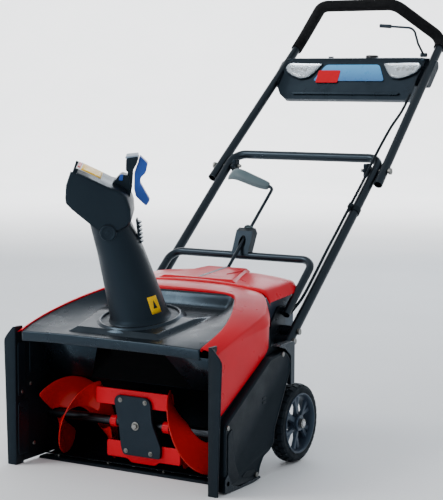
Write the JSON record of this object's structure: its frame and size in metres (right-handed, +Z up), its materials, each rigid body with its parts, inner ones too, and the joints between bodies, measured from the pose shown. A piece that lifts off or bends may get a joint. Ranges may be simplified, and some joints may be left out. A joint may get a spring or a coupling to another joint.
{
  "type": "snow blower",
  "caption": "Single-stage battery snow blower with a steel-edged rotor, tilting and turning discharge chute, folding handle, lamp console and two wheels.",
  "frame": {"origin": "on the ground, in the middle of the scraper blade's lower face", "axes": "+Z up, the intake mouth faces -Y, +X to the right as seen from the front"},
  "size_m": [0.542, 1.2608, 1.029],
  "materials": {
    "housing_black": "fine satin grain",
    "hood_red": "gloss moulded",
    "steel_black": "satin black powder coat",
    "rotor_red": "gloss red enamel",
    "steel_bright": "brushed",
    "rubber_black": "matte",
    "tyre": "matte",
    "chute_black": "satin",
    "grey_plastic": "satin",
    "trigger_blue": "satin",
    "foam": "foam",
    "lens": "clear",
    "console_black": "satin",
    "motor_case": "cast",
    "cable_black": "matte",
    "battery": "satin",
    "button_grey": "satin"
  },
  "bodies": {
    "chassis": {"rotor_housing": "housing_black", "side_plate_right": "housing_black", "side_plate_left": "housing_black", "scraper_blade": "housing_black", "front_deck": "housing_black", "hood_shroud": "hood_red", "hood_lid": "hood_red", "rear_body": "housing_black", "chassis_pan": "steel_black", "belt_cover": "housing_black", "housing_screws": "steel_bright", "shaft_bearings": "steel_bright", "drive_belt": "rubber_black", "motor_housing": "motor_case", "battery_dock": "battery", "controller_box": "motor_case", "battery_pack": "battery", "wheel_axle": "steel_bright", "axle_brackets": "steel_black", "push_nuts": "steel_bright", "lower_handle": "steel_black", "support_loop": "steel_black", "handle_mounts": "steel_black", "handle_bolts": "steel_bright", "rod_bracket": "steel_black", "rod_bushing": "grey_plastic", "cable_lower": "cable_black", "cable_clip": "cable_black"},
    "rotor": {"rotor_shaft": "steel_bright", "rotor_flights_right": "rotor_red", "rotor_flights_left": "rotor_red", "rotor_bracket": "rotor_red", "rotor_paddle": "rubber_black", "paddle_bolts": "steel_bright", "rotor_pulley": "steel_bright"},
    "motor_rotor": {"motor_shaft": "steel_bright"},
    "battery_door": {"battery_door": "housing_black"},
    "door_latch": {"door_latch": "housing_black"},
    "right_wheel": {"tyre_right": "tyre", "rim_right": "housing_black"},
    "left_wheel": {"tyre_left": "tyre", "rim_left": "housing_black"},
    "chute": {"chute_tube": "chute_black", "chute_base": "chute_black"},
    "chute_drive": {"chute_drive_shaft": "steel_bright"},
    "deflector": {"deflector": "chute_black"},
    "deflector_trigger": {"deflector_trigger": "trigger_blue"},
    "control_rod": {"control_rod": "steel_black", "control_lever": "grey_plastic"},
    "upper_handle": {"upper_handle": "steel_black", "foam_grip": "foam", "console_back": "console_black", "console_front": "console_black", "lamp_lenses": "lens", "cable_upper": "cable_black"},
    "right_knob": {"handle_knob_right": "housing_black"},
    "left_knob": {"handle_knob_left": "housing_black"},
    "start_button": {"start_button": "button_grey"},
    "light_button": {"light_button": "button_grey"},
    "control_bar": {"control_bar": "steel_black"}
  },
  "joints": [
    {"name": "rotor_spin", "type": "hinge", "parent": "chassis", "child": "rotor", "pos_m": [0, 0.031, 0.093], "axis": [1, 0, 0], "continuous": true},
    {"name": "motor_spin", "type": "hinge", "parent": "chassis", "child": "motor_rotor", "pos_m": [0, 0.182, 0.208], "axis": [1, 0, 0], "continuous": true},
    {"name": "right_wheel_spin", "type": "hinge", "parent": "chassis", "child": "right_wheel", "pos_m": [0, 0.249, 0.085], "axis": [1, 0, 0], "continuous": true},
    {"name": "left_wheel_spin", "type": "hinge", "parent": "chassis", "child": "left_wheel", "pos_m": [0, 0.249, 0.085], "axis": [1, 0, 0], "continuous": true},
    {"name": "chute_turn", "type": "hinge", "parent": "chassis", "child": "chute", "pos_m": [0, 0.027, 0.315], "axis": [0, -0.1736, 0.9848], "range_deg": [-40, 150]},
    {"name": "chute_drive_spin", "type": "hinge", "parent": "chassis", "child": "chute_drive", "pos_m": [0, 0.03096, 0.29255], "axis": [0, 0.9848, 0.1736], "range_deg": [-480, 480]},
    {"name": "control_rod_turn", "type": "hinge", "parent": "chassis", "child": "control_rod", "pos_m": [0, 0.384, 0.389], "axis": [0, 0.7738, 0.6334], "range_deg": [-480, 480]},
    {"name": "deflector_tilt", "type": "hinge", "parent": "chute", "child": "deflector", "pos_m": [-0.03637, -0.02945, 0.51422], "axis": [0.5, -0.8529, -0.1504], "range_deg": [0, 50]},
    {"name": "trigger_squeeze", "type": "hinge", "parent": "deflector", "child": "deflector_trigger", "pos_m": [0.01819, -0.01458, 0.61128], "axis": [0.5, -0.8529, -0.1504], "range_deg": [0, 8], "stiffness_Nm_per_rad": 0.4, "springref_deg": -14.32},
    {"name": "handle_fold", "type": "hinge", "parent": "chassis", "child": "upper_handle", "pos_m": [0, 0.729, 0.6021], "axis": [1, 0, 0], "range_deg": [0, 130]},
    {"name": "right_knob_turn", "type": "hinge", "parent": "chassis", "child": "right_knob", "pos_m": [0.183, 0.729, 0.6021], "axis": [1, 0, 0], "continuous": true},
    {"name": "left_knob_turn", "type": "hinge", "parent": "chassis", "child": "left_knob", "pos_m": [-0.183, 0.729, 0.6021], "axis": [1, 0, 0], "continuous": true},
    {"name": "door_open", "type": "hinge", "parent": "chassis", "child": "battery_door", "pos_m": [0, 0.389, 0.32], "axis": [1, 0, 0], "range_deg": [0, 95]},
    {"name": "latch_turn", "type": "hinge", "parent": "battery_door", "child": "door_latch", "pos_m": [0, 0.388, 0.213], "axis": [0, 1, 0], "range_deg": [0, 90]},
    {"name": "start_press", "type": "slide", "parent": "upper_handle", "child": "start_button", "axis": [0, 0, -1], "range_m": [0, 0.004], "stiffness_N_per_m": 300, "springref_m": -0.002},
    {"name": "light_press", "type": "slide", "parent": "upper_handle", "child": "light_button", "axis": [0, 0, -1], "range_m": [0, 0.0025], "stiffness_N_per_m": 300, "springref_m": -0.002},
    {"name": "bar_squeeze", "type": "hinge", "parent": "upper_handle", "child": "control_bar", "pos_m": [0.19, 1.04, 0.884], "axis": [-1, 0, 0], "range_deg": [0, 30], "stiffness_Nm_per_rad": 0.3, "springref_deg": -22.92}
  ],
  "couplings": [
    {"joint": "motor_spin", "follows": "rotor_spin", "ratio": 3},
    {"joint": "chute_drive_spin", "follows": "chute_turn", "ratio": -3},
    {"joint": "control_rod_turn", "follows": "chute_turn", "ratio": -3}
  ]
}
